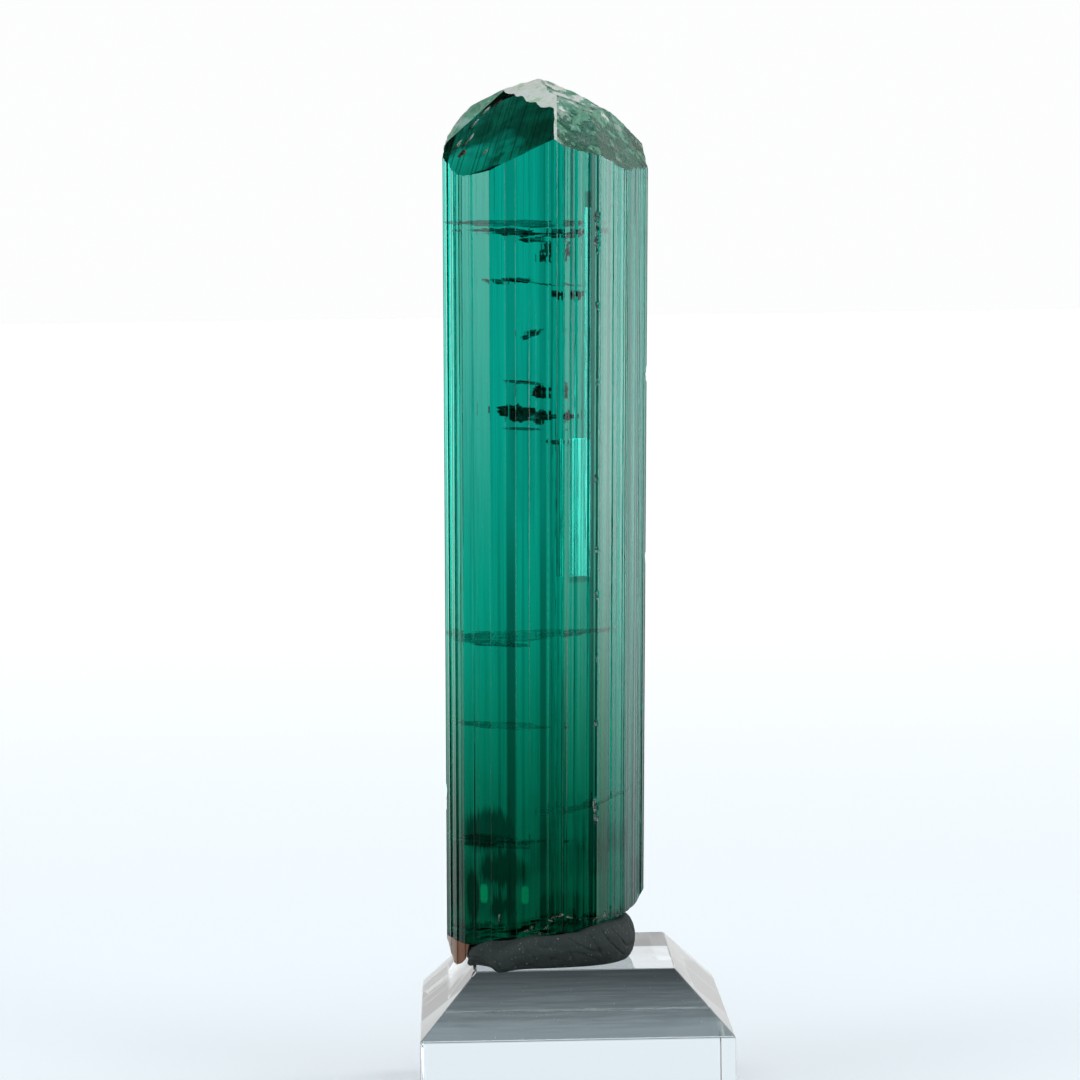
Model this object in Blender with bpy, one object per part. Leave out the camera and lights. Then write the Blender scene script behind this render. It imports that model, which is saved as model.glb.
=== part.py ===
"""A tourmaline crystal set in mounting putty on a clear, bevelled display base.

Metres, +Z up. The origin is the middle of the base's underside, and the front of the crystal faces -Y.
Azimuths are in degrees from the front (-Y), positive toward +X.
"""

import math
import random

import bmesh
import bpy
from mathutils import Matrix, Vector, noise

MM = 0.001

# Display base: a one-inch square block, half an inch high.
BASE_SIDE = 25.4 * MM
BASE_HEIGHT = 12.7 * MM
BEVEL_INSET = 4.6 * MM
BEVEL_DROP = 4.8 * MM

# Where the crystal stands. Its own frame starts on the base's top and leans a little to the right.
CRYSTAL_X = -2.2 * MM
CRYSTAL_Y = 0.0
CRYSTAL_LEAN = math.radians(0.8)
CRYSTAL_TURN = math.radians(-1.3)
TOUCH_GAP = 0.3 * MM

# Corners of the prism's section, from its left side round the front and back again by the rear.
SECTION = [
    (-8.5 * MM, -0.6 * MM),
    (-7.6 * MM, -3.2 * MM),
    (-6.9 * MM, -4.4 * MM),
    (-3.8 * MM, -6.2 * MM),
    (1.4 * MM, -7.1 * MM),
    (4.25 * MM, -5.9 * MM),
    (6.6 * MM, -3.0 * MM),
    (8.45 * MM, 1.6 * MM),
    (8.0 * MM, 4.6 * MM),
    (5.0 * MM, 6.6 * MM),
    (-5.8 * MM, 7.0 * MM),
    (-8.2 * MM, 3.6 * MM),
]
FULL_WIDTH_HEIGHT = 61.8 * MM
TAPER_PER_METRE = 0.48
PRISM_LEVELS = [level * MM for level in (-3.0, 9.0, 21.0, 33.0, 45.0, 57.0, 68.0, 80.0)]

# Striations: narrow strips along the prism, each recessed a little more or less than the next.
STRIP_WIDTH = 0.55 * MM
STRIP_RISER = 0.07 * MM
STRIP_RECESS = 0.16 * MM
STRIP_JITTER = 0.3
STRIP_DRIFT = 0.35
STRIP_WAVE = 9.0 * MM
STRIP_SEED = 11

# Faces of the top: name, azimuth, slope, height on the axis, whether it is etched.
TOP_FACES = [
    ("front left", -41.3, 44.2, 72.06 * MM, False),
    ("left shoulder", -78.7, 53.0, 77.85 * MM, True),
    ("left cap", -31.0, 30.2, 71.5 * MM, True),
    ("right cap", 58.5, 28.0, 71.75 * MM, True),
    ("front right", 37.7, 43.3, 72.95 * MM, True),
    ("right shoulder", 65.0, 55.0, 75.35 * MM, True),
    ("rear right", 130.0, 40.0, 75.1 * MM, True),
    ("rear", 199.0, 44.0, 75.69 * MM, True),
]
ETCH_CELL = 0.85 * MM
ETCH_CELLS = range(-11, 12)
ETCH_OFFSET = 0.37
ETCH_DEPTH = 0.22 * MM
ETCH_SCALE = 1.3 * MM
ETCH_LEVEL = 0.35
FLAT_COSINE = 0.99999
FLAT_WITHIN = 0.001 * MM
CUT_WITHIN = 0.0001 * MM

# Chips along the sharp edge between the front and the right side: height and radius.
CHIP_EDGE = 5
CHIP_STRETCH = (0.8, 0.8, 1.5, 1.0)
CHIP_OUTWARD = 0.2
CHIP_TURN = 1.1
CHIPS = [
    (61.2 * MM, 0.55 * MM),
    (59.6 * MM, 0.4 * MM),
    (54.0 * MM, 0.35 * MM),
    (47.8 * MM, 0.3 * MM),
    (40.0 * MM, 0.35 * MM),
    (34.2 * MM, 0.3 * MM),
    (30.5 * MM, 0.4 * MM),
    (12.6 * MM, 0.5 * MM),
]

# Broken lower end: a sloping rough surface, and a splinter that hangs below it at the left.
BREAK_HEIGHT = 2.6 * MM
BREAK_RISE = 0.16
BREAK_RELIEF = 0.3 * MM
BREAK_SCALE = 2.6 * MM
BREAK_CELL = 0.95 * MM
BREAK_COLUMNS = (-5.6 * MM, 17)
BREAK_ROWS = (-8.4 * MM, 19)
BREAK_FLOOR = -6.0 * MM
SPLINTER_EDGE = [
    (-9.2 * MM, 2.2 * MM),
    (-8.3 * MM, 1.5 * MM),
    (-7.95 * MM, 0.0),
    (-7.5 * MM, -0.6 * MM),
    (-7.0 * MM, -0.3 * MM),
    (-6.6 * MM, 0.2 * MM),
]
SPLINTER_WALL = 0.18 * MM
SPLINTER_BACK = (-2.0 * MM, 0.8 * MM)

# Putty: a squashed lump, with a tip at its left and a tongue that droops over the base's front edge.
PUTTY_CENTRE = (-1.9 * MM, -0.9 * MM)
PUTTY_REACH = (6.7 * MM, 6.6 * MM)
PUTTY_SQUARENESS = 3.0
PUTTY_TURN = math.radians(12.0)
PUTTY_LUMP = 0.3 * MM
PUTTY_SEGMENTS = 60
PUTTY_TIPS = [(-58.0, 14.0, 0.7 * MM), (-31.0, 10.0, 1.1 * MM)]
PUTTY_LEAST = 0.35 * MM
PUTTY_MOST = 4.6 * MM
# Its side, from the underside out and in over the top: share of the reach, share of the height.
PUTTY_PROFILE = [(0.55, 0.0), (0.94, 0.0), (1.0, 0.3), (0.99, 0.65), (0.94, 1.0), (0.7, 1.0), (0.4, 1.0)]


def clear_scene():
    for leftover in list(bpy.data.objects):
        bpy.data.objects.remove(leftover, do_unlink=True)


def plain_material(name, colour, roughness, transmission=0.0):
    material = bpy.data.materials.new(name)
    material.use_nodes = True
    shader = material.node_tree.nodes["Principled BSDF"]
    shader.inputs["Base Color"].default_value = (*colour, 1.0)
    shader.inputs["Roughness"].default_value = roughness
    shader.inputs["Metallic"].default_value = 0.0
    shader.inputs["Transmission Weight"].default_value = transmission
    return material


def add_object(name, shape, material=None):
    bmesh.ops.recalc_face_normals(shape, faces=shape.faces[:])
    mesh = bpy.data.meshes.new(name)
    shape.to_mesh(mesh)
    shape.free()
    made = bpy.data.objects.new(name, mesh)
    bpy.context.scene.collection.objects.link(made)
    if material:
        mesh.materials.append(material)
    return made


def crystal_frame():
    """The crystal's own frame: on the base's top, leaning to +X and turned a little about its axis."""
    place = Matrix.Translation((CRYSTAL_X, CRYSTAL_Y, BASE_HEIGHT))
    turn = Matrix.Rotation(CRYSTAL_TURN, 4, "Z")
    lean = Matrix.Rotation(CRYSTAL_LEAN, 4, "Y")
    return place @ turn @ lean


def striations():
    """Strips of the whole section, in order: corner number, start, end, recess and drift phase."""
    rng = random.Random(STRIP_SEED)
    strips = []
    for corner, start in enumerate(SECTION):
        end = SECTION[(corner + 1) % len(SECTION)]
        count = max(2, round(math.dist(start, end) / STRIP_WIDTH))
        cuts = [0.0]
        cuts += [(number + rng.uniform(-STRIP_JITTER, STRIP_JITTER)) / count for number in range(1, count)]
        cuts.append(1.0)
        for low, high in zip(cuts, cuts[1:]):
            recess = STRIP_RECESS * rng.random() ** 1.5
            strips.append((corner, low, high, recess, rng.uniform(0.0, math.tau)))
    return strips


def section_at(height, strips):
    """Points of the striated section at this height above the base's top."""
    points = []
    width = 1.0 - TAPER_PER_METRE * (FULL_WIDTH_HEIGHT - height)
    for corner, low, high, recess, phase in strips:
        start = Vector(SECTION[corner])
        end = Vector(SECTION[(corner + 1) % len(SECTION)])
        along = end - start
        outward = Vector((along.y, -along.x)).normalized()
        depth = recess * (1.0 + STRIP_DRIFT * math.sin(phase + height / STRIP_WAVE))
        riser = 0.5 * STRIP_RISER / along.length
        if low == 0.0:
            points.append(start * width)
        for place in (low + riser, high - riser):
            points.append((start + along * place - outward * depth) * width)
    return [(point.x, point.y, height) for point in points]


def prism():
    shape = bmesh.new()
    strips = striations()
    rings = [[shape.verts.new(point) for point in section_at(level, strips)] for level in PRISM_LEVELS]
    for lower, upper in zip(rings, rings[1:]):
        for i in range(len(lower)):
            j = (i + 1) % len(lower)
            shape.faces.new((lower[i], lower[j], upper[j], upper[i]))
    shape.faces.new(list(reversed(rings[0])))
    shape.faces.new(rings[-1])
    return shape


def plane_normal(azimuth, slope):
    """The outward normal of a top face that falls away toward this azimuth."""
    turn, tilt = math.radians(azimuth), math.radians(slope)
    return Vector((math.sin(tilt) * math.sin(turn), -math.sin(tilt) * math.cos(turn), math.cos(tilt)))


def cut_face(shape, point, normal):
    """Cuts away what lies outside the plane, and closes the cut with a flat face."""
    made = bmesh.ops.bisect_plane(
        shape,
        geom=shape.verts[:] + shape.edges[:] + shape.faces[:],
        dist=CUT_WITHIN,
        plane_co=point,
        plane_no=normal,
        clear_outer=True,
    )
    rim = [item for item in made["geom_cut"] if isinstance(item, bmesh.types.BMEdge)]
    bmesh.ops.edgeloop_fill(shape, edges=[edge for edge in rim if len(edge.link_faces) == 1])
    shape.normal_update()


def flat_faces(shape, point, normal):
    """The faces that lie on this plane."""
    return [
        face
        for face in shape.faces
        if face.normal.dot(normal) > FLAT_COSINE
        and abs((face.calc_center_median() - point).dot(normal)) < FLAT_WITHIN
    ]


def etch(shape, point, normal, seed):
    """Divides the flat face on this plane into cells, and pits the points inside it."""
    for axis in (Vector((1, 0, 0)), Vector((0, 1, 0))):
        for step in ETCH_CELLS:
            faces = flat_faces(shape, point, normal)
            geometry = set(faces)
            geometry.update(edge for face in faces for edge in face.edges)
            geometry.update(vert for face in faces for vert in face.verts)
            bmesh.ops.bisect_plane(
                shape,
                geom=list(geometry),
                dist=CUT_WITHIN,
                plane_co=axis * (step + ETCH_OFFSET) * ETCH_CELL,
                plane_no=axis,
            )
    own = set(flat_faces(shape, point, normal))
    inner = {vert for face in own for vert in face.verts if set(vert.link_faces) <= own}
    for vert in inner:
        rough = noise.noise(vert.co / ETCH_SCALE + Vector((seed, 0, 0)))
        vert.co += normal * ETCH_DEPTH * (rough - ETCH_LEVEL)
    shape.normal_update()


def cut_top(shape):
    planes = []
    for _, azimuth, slope, height, etched in TOP_FACES:
        point, normal = Vector((0, 0, height)), plane_normal(azimuth, slope)
        cut_face(shape, point, normal)
        if etched:
            planes.append((point, normal))
    for seed, (point, normal) in enumerate(planes):
        etch(shape, point, normal, seed)


def interpolate(table, x):
    for (x0, z0), (x1, z1) in zip(table, table[1:]):
        if x <= x1:
            share = min(max((x - x0) / (x1 - x0), 0.0), 1.0)
            return z0 + (z1 - z0) * share
    return table[-1][1]


def break_height(x, y):
    """Height of the crystal's broken lower end, in the crystal's own frame."""
    relief = noise.noise(Vector((x, y, 0)) / BREAK_SCALE)
    relief += 0.5 * noise.noise(Vector((x, y, 1)) / (0.4 * BREAK_SCALE))
    main = BREAK_HEIGHT + BREAK_RISE * x + BREAK_RELIEF * relief
    front, back = SPLINTER_BACK
    depth = min(max((back - y) / (back - front), 0.0), 1.0)
    if x > SPLINTER_EDGE[-1][0] + SPLINTER_WALL:
        return main
    splinter = min(interpolate(SPLINTER_EDGE, x), main)
    if x > SPLINTER_EDGE[-1][0]:
        share = (x - SPLINTER_EDGE[-1][0]) / SPLINTER_WALL
        splinter += (main - splinter) * share
    return main + (splinter - main) * depth


def break_cutter():
    """What the break took away: a block whose top is the broken surface."""
    columns = [x for x, _ in SPLINTER_EDGE] + [SPLINTER_EDGE[-1][0] + SPLINTER_WALL]
    columns += [BREAK_COLUMNS[0] + BREAK_CELL * step for step in range(BREAK_COLUMNS[1])]
    rows = [BREAK_ROWS[0] + BREAK_CELL * step for step in range(BREAK_ROWS[1])]
    shape = bmesh.new()
    top = [[shape.verts.new((x, y, break_height(x, y))) for x in columns] for y in rows]
    floor = [[shape.verts.new((x, y, BREAK_FLOOR)) for x in columns] for y in rows]
    for grid in (top, floor):
        for j in range(len(rows) - 1):
            for i in range(len(columns) - 1):
                shape.faces.new((grid[j][i], grid[j][i + 1], grid[j + 1][i + 1], grid[j + 1][i]))
    rim = [(0, i) for i in range(len(columns))]
    rim += [(j, len(columns) - 1) for j in range(1, len(rows))]
    rim += [(len(rows) - 1, i) for i in range(len(columns) - 2, -1, -1)]
    rim += [(j, 0) for j in range(len(rows) - 2, 0, -1)]
    for (j0, i0), (j1, i1) in zip(rim, rim[1:] + rim[:1]):
        shape.faces.new((floor[j0][i0], floor[j1][i1], top[j1][i1], top[j0][i0]))
    return add_object("break_cutter", shape)


def chip_cutter(number, height, radius):
    edge = Vector(SECTION[CHIP_EDGE]) * (1.0 - TAPER_PER_METRE * (FULL_WIDTH_HEIGHT - height))
    middle = edge + edge.normalized() * CHIP_OUTWARD * radius
    shape = bmesh.new()
    bmesh.ops.create_icosphere(shape, subdivisions=1, radius=radius)
    stretch = Matrix.Diagonal(CHIP_STRETCH)
    turn = Matrix.Rotation(CHIP_TURN * number, 4, "Z")
    place = Matrix.Translation((middle.x, middle.y, height))
    bmesh.ops.transform(shape, matrix=place @ turn @ stretch, verts=shape.verts[:])
    return add_object(f"chip_cutter_{number}", shape)


def subtract(target, cutter):
    cutter.parent = target
    cutter.hide_render = True
    cutter.display_type = "WIRE"
    difference = target.modifiers.new(cutter.name, "BOOLEAN")
    difference.operation = "DIFFERENCE"
    difference.solver = "MANIFOLD"
    difference.object = cutter


def build_crystal():
    shape = prism()
    cut_top(shape)
    material = plain_material("tourmaline", (0.0, 0.27, 0.2), 0.08, 0.9)
    crystal = add_object("crystal", shape, material)
    crystal.matrix_world = crystal_frame()
    subtract(crystal, break_cutter())
    for number, (height, radius) in enumerate(CHIPS):
        subtract(crystal, chip_cutter(number, height, radius))
    return crystal


def build_display_base():
    shape = bmesh.new()
    half = BASE_SIDE / 2
    levels = [(half, 0.0), (half, BASE_HEIGHT - BEVEL_DROP), (half - BEVEL_INSET, BASE_HEIGHT)]
    rings = [
        [shape.verts.new((sx * side, sy * side, z)) for sx, sy in ((-1, -1), (1, -1), (1, 1), (-1, 1))]
        for side, z in levels
    ]
    for lower, upper in zip(rings, rings[1:]):
        for i in range(4):
            shape.faces.new((lower[i], lower[(i + 1) % 4], upper[(i + 1) % 4], upper[i]))
    shape.faces.new(list(reversed(rings[0])))
    shape.faces.new(rings[-1])
    return add_object("display_base", shape, plain_material("clear acrylic", (0.9, 0.94, 0.95), 0.05, 0.95))


def base_top(x, y):
    """Height of the base's top or bevel here."""
    beyond = max(abs(x), abs(y)) - (BASE_SIDE / 2 - BEVEL_INSET)
    return BASE_HEIGHT - max(beyond, 0.0) * BEVEL_DROP / BEVEL_INSET


def putty_reach(azimuth):
    """Which way and how far the putty spreads toward this azimuth."""
    turn = math.radians(azimuth)
    direction = Vector((math.sin(turn), -math.cos(turn)))
    own = Matrix.Rotation(-PUTTY_TURN, 2) @ direction
    power = PUTTY_SQUARENESS
    across, deep = abs(own.x / PUTTY_REACH[0]), abs(own.y / PUTTY_REACH[1])
    reach = (across**power + deep**power) ** (-1.0 / power)
    reach += PUTTY_LUMP * noise.noise(Vector((direction.x * 1.7, direction.y * 1.7, 3.0)))
    for tip_azimuth, width, length in PUTTY_TIPS:
        away = (azimuth - tip_azimuth + 180.0) % 360.0 - 180.0
        reach += length * math.exp(-((away / width) ** 2))
    return direction, reach


def underside_at(x, y):
    """Height of the crystal's underside above this point of the base, in the base's frame."""
    local = crystal_frame().inverted() @ Vector((x, y, BASE_HEIGHT))
    return (crystal_frame() @ Vector((local.x, local.y, break_height(local.x, local.y)))).z


def build_putty():
    """Rings from the underside, out round the bulging side and in over the top, under the crystal."""
    shape = bmesh.new()
    rings = []
    for spread, lift in PUTTY_PROFILE:
        ring = []
        for segment in range(PUTTY_SEGMENTS):
            direction, reach = putty_reach(360.0 * segment / PUTTY_SEGMENTS)
            x = PUTTY_CENTRE[0] + direction.x * reach * spread
            y = PUTTY_CENTRE[1] + direction.y * reach * spread
            floor = base_top(x, y) + TOUCH_GAP
            roof = min(underside_at(x, y), BASE_HEIGHT + PUTTY_MOST) - TOUCH_GAP
            roof = max(roof, floor + PUTTY_LEAST)
            ring.append(shape.verts.new((x, y, floor + (roof - floor) * lift)))
        rings.append(ring)
    for lower, upper in zip(rings, rings[1:]):
        for i in range(PUTTY_SEGMENTS):
            j = (i + 1) % PUTTY_SEGMENTS
            shape.faces.new((lower[i], lower[j], upper[j], upper[i]))
    shape.faces.new(list(reversed(rings[0])))
    centre_x, centre_y = PUTTY_CENTRE
    middle = shape.verts.new((centre_x, centre_y, underside_at(centre_x, centre_y) - TOUCH_GAP))
    for i in range(PUTTY_SEGMENTS):
        shape.faces.new((rings[-1][i], rings[-1][(i + 1) % PUTTY_SEGMENTS], middle))
    return add_object("putty", shape, plain_material("mounting putty", (0.02, 0.03, 0.03), 0.85))


clear_scene()
build_display_base()
build_putty()
build_crystal()
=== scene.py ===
"""A tourmaline crystal held in mounting putty on a clear, bevelled display base: its looks, light and camera.

Metres, +Z up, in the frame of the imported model: the middle of the base's underside is the origin, and the
crystal's front faces -Y. Azimuths are in degrees from the front, positive toward +X.
"""

import math
import random

import bpy
from mathutils import Matrix, Vector, noise


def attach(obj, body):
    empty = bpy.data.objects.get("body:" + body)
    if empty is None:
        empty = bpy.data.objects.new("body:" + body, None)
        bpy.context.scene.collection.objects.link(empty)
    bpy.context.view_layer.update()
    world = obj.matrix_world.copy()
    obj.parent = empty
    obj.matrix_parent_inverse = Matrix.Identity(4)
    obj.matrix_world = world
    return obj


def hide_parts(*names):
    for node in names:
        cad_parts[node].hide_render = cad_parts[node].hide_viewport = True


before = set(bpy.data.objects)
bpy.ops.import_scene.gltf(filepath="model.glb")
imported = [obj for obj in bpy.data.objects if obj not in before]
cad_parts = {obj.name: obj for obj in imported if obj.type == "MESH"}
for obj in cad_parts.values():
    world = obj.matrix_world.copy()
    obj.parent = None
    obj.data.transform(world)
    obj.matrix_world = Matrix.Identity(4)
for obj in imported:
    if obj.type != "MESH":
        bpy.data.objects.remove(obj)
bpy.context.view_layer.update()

MM = 0.001

# Display base.
BASE_SIDE = 25.4 * MM
BASE_HEIGHT = 12.7 * MM
BEVEL_INSET = 4.6 * MM
BEVEL_DROP = 4.8 * MM
BEVEL_FACES_UP = (0.3, 0.9)
BASE_EDGE_ROUND = 0.12 * MM
BASE_EDGE_SEGMENTS = 3

# Where the crystal stands on the base, how it leans to the right, and how it is turned.
CRYSTAL_X = -2.2 * MM
CRYSTAL_LEAN = math.radians(0.8)
CRYSTAL_TURN = math.radians(-1.3)

# The prism's section, from its left side round the front and back by the rear. It, and what is cut from the
# prism, is placed in the crystal's own frame, whose floor is the base's top.
SECTION = [
    (-8.5 * MM, -0.6 * MM),
    (-7.6 * MM, -3.2 * MM),
    (-6.9 * MM, -4.4 * MM),
    (-4.6 * MM, -5.74 * MM),
    (1.4 * MM, -7.1 * MM),
    (4.25 * MM, -5.9 * MM),
    (6.6 * MM, -3.0 * MM),
    (8.45 * MM, 1.6 * MM),
    (8.0 * MM, 4.6 * MM),
    (5.0 * MM, 6.6 * MM),
    (-5.8 * MM, 7.0 * MM),
    (-8.2 * MM, 3.6 * MM),
]
# Which of its corners bound the front, from left to right.
FRONT_SIDES = slice(2, 7)
# It has its full width at this height, and tapers below it.
FULL_WIDTH_HEIGHT = 61.8 * MM
TAPER_PER_METRE = 0.48
PRISM_FOOT = -3.0 * MM
PRISM_STEP = 2.0 * MM
PRISM_STEPS = 41
# Vertices this near to the plane of a cut count as on it.
CUT_TOLERANCE = 1e-7

# Striations: strips along the prism, each of them a few fine ribs.
STRIP_WIDTH = 0.55 * MM
STRIP_RISER = 0.07 * MM
STRIP_RECESS = 0.10 * MM
STRIP_JITTER = 0.3
STRIP_DRIFT = 0.35
STRIP_WAVE = 45.0 * MM
STRIP_SEED = 11
RIBS = 3
# How deep the ribs are on each side of the section, from its first corner on, in millimetres.
RIB_DEPTHS = [0.012, 0.02, 0.008, 0.004, 0.02, 0.02, 0.02, 0.01, 0.01, 0.006, 0.006, 0.01]
# Deeper ribs on part of one side: which side, from what share of its length on, and how deep in millimetres.
DEEP_RIBS = (3, 0.72, 0.018)

# Planes of the top: azimuth, slope, height on the axis. Only the front left one is smooth. It reaches this
# much lower than on the axis.
SMOOTH_FACE = (-41.3, 44.2, 72.06 * MM)
SMOOTH_DROP = 10.0 * MM
# It ends at this line: a point of it, and the direction across it toward the part that is etched.
SMOOTH_END = ((-2.95 * MM, 2.85 * MM, 0.0), (-0.349, 0.937, 0.0))
# How nearly a face has to face its way, and how near to its plane it has to lie, to be part of it.
SMOOTH_LEAST_ALIKE = 0.9999
SMOOTH_MOST_AWAY = 0.01 * MM
ETCHED_FACES = [
    (-78.7, 53.0, 77.85 * MM),
    (-31.0, 30.2, 71.5 * MM),
    (58.5, 28.0, 71.75 * MM),
    (37.7, 43.3, 72.95 * MM),
    (65.0, 55.0, 75.35 * MM),
    (130.0, 40.0, 75.1 * MM),
    (199.0, 44.0, 75.69 * MM),
]
# The first of them is nowhere bright, and the second is frosted all over.
LEFT_FACE, FROSTED_FACE = 0, 1
# The frosted ridge between the smooth face and the etched ones.
RIDGE_X = 0.55 * MM
RIDGE_HALF = 0.3 * MM
# Mottling of the etched faces: the share and size of its patches, the height around which they turn pale, how
# fast they do, and the levels from which they are etched and frosted.
ETCH_MOTTLE = [(1.0, 1.1 * MM), (0.5, 0.44 * MM)]
ETCH_PALE_HEIGHT = 69.3 * MM
ETCH_PALE_RISE = 6.0 * MM
ETCHED_FROM = -0.1
FROSTED_FROM = 0.55
# Pits of the etched faces: their depth in millimetres, their size, and how far they sit below the plane.
ETCH_PITS = [(0.12, 1.3 * MM, 0.35), (0.07, 0.6 * MM, 0.0), (0.025, 0.28 * MM, 0.0)]
ETCH_CELL = 0.16 * MM
# The block that cuts the top: how far it reaches from the axis, its own top and its first thickness.
ETCH_REACH = 10.0 * MM
ETCH_ROOF = 90.0 * MM
CUTTER_THICKNESS = 5.0 * MM
# Below this plane, which crosses the splinter, the crystal is stained by rust.
STAIN_PLACE = (-8.6 * MM, 0.0, 1.55 * MM)
STAIN_NORMAL = (0.05, 0.0, 0.999)

# Chips on the edges: corner of the section, height and radius.
CHIPS = [
    (5, 61.2 * MM, 0.6 * MM),
    (5, 60.3 * MM, 0.55 * MM),
    (5, 59.3 * MM, 0.6 * MM),
    (5, 58.5 * MM, 0.4 * MM),
    (5, 54.0 * MM, 0.42 * MM),
    (5, 47.8 * MM, 0.36 * MM),
    (5, 44.4 * MM, 0.24 * MM),
    (5, 40.0 * MM, 0.42 * MM),
    (5, 36.9 * MM, 0.24 * MM),
    (5, 34.2 * MM, 0.38 * MM),
    (5, 30.5 * MM, 0.45 * MM),
    (5, 25.4 * MM, 0.3 * MM),
    (5, 20.0 * MM, 0.4 * MM),
    (5, 13.2 * MM, 0.6 * MM),
    (5, 12.2 * MM, 0.5 * MM),
    (7, 48.3 * MM, 0.55 * MM),
    (7, 33.0 * MM, 0.35 * MM),
    (0, 13.6 * MM, 0.55 * MM),
    (0, 12.5 * MM, 0.4 * MM),
]
CHIP_FLATTEN = (0.75, 0.75, 1.3)
# In radii: how far outside the edge a chip's middle lies, how big and how rough its facets are, and how far
# its wall reaches.
CHIP_OUTSIDE = 0.25
CHIP_FACETS = 0.5
CHIP_ROUGHNESS = 0.5
CHIP_REACH = 1.9
# What lies deeper than this isn't a striation but the wall of a chip or a flake.
CHIP_DEPTH = 0.14 * MM
# How far the noise moves on from one chip or flake to the next, and from one fracture to the next.
CHIP_SEED_STEP = 3.1
FRACTURE_SEED_STEP = 7.3

# Small bright flakes on the smooth face and along the foot: place across and up, half width and half height,
# all in millimetres, turn in degrees, and kind.
FLAKES = [
    ((-6.9, 66.4), (0.26, 0.45), 30.0, "stained"),
    ((-7.2, 67.2), (0.1, 0.8), 32.0, "frosted"),
    ((-6.3, 67.6), (0.08, 0.9), 36.0, "frosted"),
    ((-5.9, 68.9), (0.09, 0.7), 34.0, "frosted"),
    ((-5.0, 70.0), (0.1, 0.6), 42.0, "frosted"),
    ((-4.1, 70.6), (0.08, 0.5), 50.0, "stained"),
    ((-4.9, 66.5), (0.07, 0.4), 30.0, "frosted"),
    ((-3.86, 3.85), (0.09, 0.42), 5.0, "frosted"),
    ((-1.6, 2.9), (0.3, 0.12), -25.0, "frosted"),
    ((-1.15, 3.2), (0.12, 0.22), 35.0, "frosted"),
    ((-0.6, 2.75), (0.24, 0.11), 20.0, "frosted"),
    ((0.05, 3.25), (0.3, 0.09), -50.0, "frosted"),
    ((0.4, 3.8), (0.26, 0.12), 15.0, "frosted"),
    ((0.7, 4.15), (0.28, 0.08), -20.0, "frosted"),
    ((1.2, 4.3), (0.12, 0.24), 55.0, "frosted"),
    ((1.9, 4.1), (0.32, 0.09), 25.0, "frosted"),
    ((2.7, 3.8), (0.16, 0.08), -30.0, "frosted"),
    ((4.0, 3.8), (0.26, 0.1), -40.0, "frosted"),
    ((4.8, 4.0), (0.1, 0.28), 20.0, "frosted"),
]
# Half the depth of each, how far its middle is sunk into the front, how rough and how finely faceted it is,
# how far its wall reaches in its own radii, and how deep under the smooth face that wall starts.
FLAKE_DEPTH = 0.35 * MM
FLAKE_SINK = 0.1 * MM
FLAKE_ROUGHNESS = 0.8
FLAKE_FACETS = 2.4
FLAKE_REACH = 1.4
FLAKE_LEAST_DEPTH = 0.02 * MM

# Broken lower end: its height on the axis, how fast it rises to the right, and its relief: how deep and how
# wide it is, and the share of both that each of its layers has.
BREAK_HEIGHT = 2.6 * MM
BREAK_RISE = 0.16
BREAK_RELIEF = 0.3 * MM
BREAK_SCALE = 2.6 * MM
BREAK_LAYERS = [(1.0, 1.0), (0.35, 0.4), (0.12, 0.16)]
# The block that cuts it: the corners of its rectangle, its underside and its cells.
BREAK_CORNERS = ((-9.6 * MM, -9.0 * MM), (9.6 * MM, 9.0 * MM))
BREAK_FLOOR = -6.0 * MM
BREAK_CELL = 0.25 * MM
# Its right corner is rounded off: where that starts, and how fast it rises, per metre.
CORNER_START = 6.7 * MM
CORNER_LIFT = 520.0
# The splinter's lower edge, across and up, how wide the step at its right is, and from where to where it
# fades out toward the rear.
SPLINTER_EDGE = [
    (-9.2 * MM, 2.2 * MM),
    (-8.3 * MM, 1.5 * MM),
    (-7.95 * MM, 0.0),
    (-7.5 * MM, -0.6 * MM),
    (-7.0 * MM, -0.3 * MM),
    (-6.6 * MM, 0.2 * MM),
]
SPLINTER_WALL = 0.18 * MM
SPLINTER_BACK = (-2.0 * MM, 0.8 * MM)

# Putty: a squashed lump, with a tip at its left and a tongue that droops over the base's front edge.
PUTTY_CENTRE = (-1.9 * MM, -0.9 * MM)
PUTTY_REACH = (6.7 * MM, 6.6 * MM)
PUTTY_SQUARENESS = 3.0
PUTTY_TURN = math.radians(12.0)
PUTTY_LUMP = 0.3 * MM
PUTTY_LUMP_WAVES = 1.7
PUTTY_SEGMENTS = 180
# Its tip and its tongue: azimuth and width in degrees, and length.
PUTTY_TIPS = [(-58.0, 14.0, 0.9 * MM), (-31.0, 9.0, 1.3 * MM)]
# How thick it is at least, how high at most, and its gaps to the base, which it sinks into, and the crystal.
PUTTY_LEAST = 0.5 * MM
PUTTY_MOST = 4.6 * MM
PUTTY_FLOOR_GAP = -0.02 * MM
PUTTY_ROOF_GAP = 0.06 * MM
# Its side, from the underside out and in over the top: share of the reach, share of the height.
PUTTY_PROFILE = [
    (0.5, 0.0), (0.93, 0.0), (0.98, 0.12), (1.01, 0.3), (1.02, 0.5),
    (1.0, 0.7), (0.96, 0.88), (0.9, 1.0), (0.5, 1.0),
]
PUTTY_VOXEL = 0.1 * MM
PUTTY_SOFTENING = 6
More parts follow.
